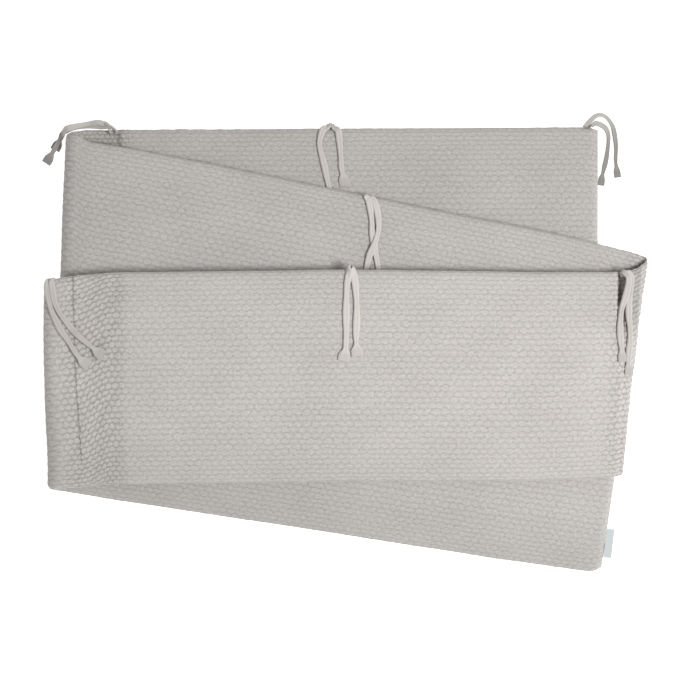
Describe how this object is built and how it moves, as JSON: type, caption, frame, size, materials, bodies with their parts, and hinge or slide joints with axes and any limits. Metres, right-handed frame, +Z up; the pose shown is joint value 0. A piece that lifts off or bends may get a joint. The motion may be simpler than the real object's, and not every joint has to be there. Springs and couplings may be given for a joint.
{
  "type": "playpen bumper",
  "caption": "Long padded strip of textured jersey with foam panels, soft hinges and tie tapes along its top edge, folded back and forth and lying flat.",
  "frame": {"origin": "on the floor, under the middle of the folded pile's box", "axes": "+X along the panels towards the label end, +Y towards the edge that holds the ties, +Z up"},
  "size_m": [0.8972, 0.6816, 0.0835],
  "materials": {
    "cover_jersey": "greige cotton jersey knitted in small raised scales, matt",
    "tie_jersey": "plain greige jersey tape, matt, ribbed lengthwise where it curls",
    "label_woven": "white woven satin tab, bare"
  },
  "bodies": {
    "root": {"padded_strip": "cover_jersey", "tie_floor_left": "tie_jersey", "tie_floor_middle": "tie_jersey", "tie_floor_right": "tie_jersey", "tie_second_middle": "tie_jersey", "tie_top_middle": "tie_jersey", "tie_top_left": "tie_jersey", "tie_top_right": "tie_jersey", "label_tab": "label_woven"}
  },
  "joints": []
}
